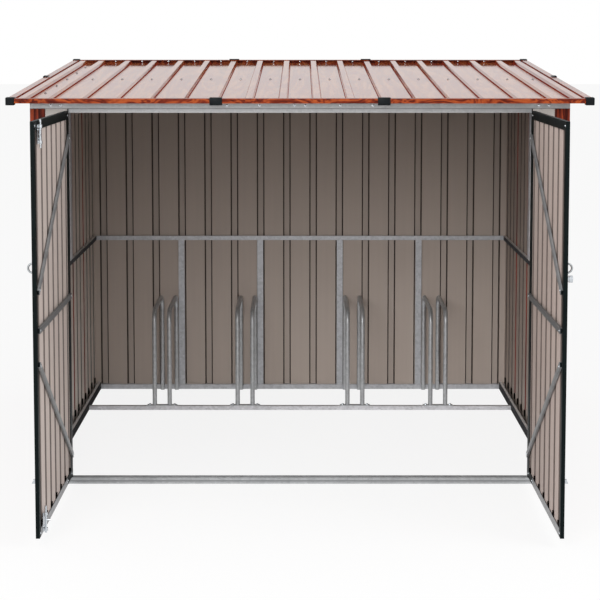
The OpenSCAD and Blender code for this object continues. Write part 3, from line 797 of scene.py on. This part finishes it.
# Heights of the braces and of the mid rail, at the hinge and at the free edge
leaf_bars = [
    (leaf_top - 0.094, door_mid + 0.126),
    (door_mid, door_mid),
    (leaf_low + 0.083, door_mid - 0.111)]


def leaf_spot(side, u, v, z):
    """A point of a leaf: u from its hinge edge, v in from its outer face."""
    return Vector((side * (leaf_face - v), leaf_free_y + LEAF_W - u, z))


def leaf_screws(body, side):
    """Screws on the inner face: frame corners, foot, mid rail and brace ends."""
    corner = STILE_W / 2
    spots = [(u, LEAF_T, z) for u in (corner, LEAF_W - corner)
             for z in (leaf_low + corner, leaf_top - corner)]
    spots += [(FOOT_L + reach, LEAF_T, leaf_low + BOTTOM_RAIL_H / 2) for reach in (-0.012, 0.012)]
    for z0, z1 in leaf_bars:
        spots += [(BAR_START + reach, LEAF_T + BAR_OUT, z0 + (z1 - z0) * reach / BAR_RUN)
                  for reach in (0.010, BAR_RUN - 0.012)]
    places = [facing(leaf_spot(side, u, v, z), -X * side) for u, v, z in spots]
    piece(body + "_screws", stamped(screw_pattern(0.0048), places), ZINC, body)


def leaf_rivets(body, side):
    """Rivets through the sheet's pans, seen from outside."""
    pan_outer = LEAF_PAN - SHEET_T
    rows = [leaf_low + BOTTOM_RAIL_H + 0.012, door_mid, leaf_top - STILE_W - 0.012]
    spots = [(FIRST_LEAF_RIB + (i + 0.5) * LEAF_RIB_PITCH, z)
             for i in range(LEAF_RIBS - 1) for z in rows]
    places = [facing(leaf_spot(side, u, pan_outer, z), X * side) for u, z in spots]
    piece(body + "_rivets", stamped(rivet_pattern(0.0042), places), ZINC, body)


def rib_closures(body, side):
    """Dark pieces in the lower ends of the sheet's ribs: painted shade in place of the shade under the
    ribs.
    """
    shape = closure_pattern(LEAF_RIB_H - 0.0004, 0.016, 0.0028)
    lowest = leaf_low + BOTTOM_RAIL_H + 0.0005
    spots = [leaf_spot(side, FIRST_LEAF_RIB + i * LEAF_RIB_PITCH, LEAF_PAN, lowest)
             for i in range(LEAF_RIBS)]
    places = [Matrix.Translation(at) @ Matrix.Rotation(-side * pi / 2, 4, "Z") for at in spots]
    piece(body + "_rib_closures", stamped(shape, places), RIB_END_SHADE, body, False)


def bar_shade_plugs(body, side):
    """Black blocks in the free ends of the braces and the mid rail: painted shade for their open ends.
    """
    bm = bmesh.new()
    block(bm, (0.004, BAR_OUT - 0.0016, 0.0172))
    rounded(bm, 0.0008)
    shape = pattern(bm)
    sunk = 0.0015
    places = []
    for z0, z1 in leaf_bars:
        angle = atan2(z1 - z0, BAR_RUN)
        end = leaf_spot(side, BAR_START + BAR_RUN - sunk * cos(angle), LEAF_T + BAR_OUT / 2 - 0.0006,
                        z1 - sunk * sin(angle))
        rise = Matrix.Rotation(-angle, 4, "X")
        places.append(Matrix.Translation(end) @ rise @ Matrix.Rotation(-pi / 2, 4, "Z"))
    piece(body + "_bar_plugs", stamped(shape, places), BLACK_PLASTIC_AND_SHADE, body, False)


def bolt_plate_screws():
    """Four screws in each bolt's plate."""
    low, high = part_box("bolt_housings")
    across = (low.y + high.y) / 2
    heights = [low.z + 0.016, low.z + 0.046, high.z - 0.046, high.z - 0.016]
    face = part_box("left_door_frame")[1].x + 0.0016
    places = [facing((face, across + reach, z), X) for z in heights for reach in (-0.011, 0.011)]
    piece("bolt_plate_screws", stamped(screw_pattern(0.003), places), ZINC, "left_door")


def lock_face():
    """Keyway disc in the lock's knob, with its slot as a black block, painted shade for the keyhole."""
    low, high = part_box("door_lock")
    at = Vector((high.x, (low.y + high.y) / 2, (low.z + high.z) / 2))
    disc = turned([(0, 0.0006), (0.0052, 0.0006), (0.0062, 0.0003), (0.0065, 0), (0, 0)], 24)
    piece("lock_disc", stamped(disc, [facing(at, X)]), ZINC, "right_door")
    bm = bmesh.new()
    block(bm, (0.0016, 0.0064, 0.0006))
    rounded(bm, 0.0002, 1)
    slot = stamped(pattern(bm), [facing(at + X * 0.0006, X)])
    piece("lock_keyway", slot, BLACK_PLASTIC_AND_SHADE, "right_door", False)


for body, side in SIDES.items():
    leaf_screws(body, side)
    leaf_rivets(body, side)
    rib_closures(body, side)
    bar_shade_plugs(body, side)
bolt_plate_screws()
lock_face()


# ---------------------------------------------------------------- stage, lamps and camera

AMBIENT = 0.62                # strength of the plain light from all round
FLOOR_WHITE = 0.86            # how much of the floor reads as background
EYE = (0, -6.642, 1.661)
LOOK_DOWN = radians(5.62)
FOCAL_MM = 107.95


def world_light(ambient):
    """White for the eye and for reflections, a plain grey light for everything else."""
    world = bpy.data.worlds.new("studio")
    bpy.context.scene.world = world
    world.use_nodes = True
    sky = Graph(world.node_tree)
    strength = sky.white_rays() * (1.0 - ambient) + ambient
    background = world.node_tree.nodes["Background"]
    background.inputs["Color"].default_value = (1, 1, 1, 1)
    sky.join(strength, background.inputs["Strength"])


def studio_floor():
    """Pale floor that keeps a soft shadow."""
    bm = bmesh.new()
    bmesh.ops.create_grid(bm, x_segments=1, y_segments=1, size=60)
    mesh = bpy.data.meshes.new("studio_floor")
    bm.to_mesh(mesh)
    bm.free()
    floor = bpy.data.objects.new("studio_floor", mesh)
    bpy.context.scene.collection.objects.link(floor)
    f = Finish("pale_floor", {"Base Color": (0.94, 0.94, 0.94, 1), "Roughness": 0.9, "IOR": 1.1})
    white = f.add("Emission", None, {"Color": (1, 1, 1, 1), "Strength": 1.0})
    diffuse = Wire(f, f.shader.outputs[0])
    mixed = f.add("MixShader", None, {0: f.white_rays() * FLOOR_WHITE, 1: diffuse, 2: white})
    f.join(mixed, f.tree.nodes["Material Output"].inputs["Surface"])
    mesh.materials.append(f.material)


def soft_lamp(name, at, aim, size, power):
    lamp = bpy.data.lights.new(name, "AREA")
    lamp.size = size
    lamp.energy = power
    made = bpy.data.objects.new(name, lamp)
    made.location = at
    made.rotation_euler = (Vector(aim) - Vector(at)).to_track_quat("-Z", "Y").to_euler()
    bpy.context.scene.collection.objects.link(made)


def camera():
    """Stands before the doorway, a little above the roof's front edge."""
    lens = bpy.data.cameras.new("camera")
    lens.sensor_width = 36
    lens.lens = FOCAL_MM
    lens.shift_y = -0.14
    eye = bpy.data.objects.new("camera", lens)
    eye.location = EYE
    eye.rotation_euler = (pi / 2 - LOOK_DOWN, 0, 0)
    bpy.context.scene.collection.objects.link(eye)
    bpy.context.scene.camera = eye


world_light(AMBIENT)
studio_floor()
soft_lamp("front_lamp", at=(-1.6, -6.0, 3.4), aim=(0, 1.0, 0.5), size=4.0, power=250)
soft_lamp("right_lamp", at=(4.2, -2.4, 3.2), aim=(0, 0.6, 0.8), size=3.0, power=85)
camera()
bpy.context.scene.view_settings.view_transform = "Standard"
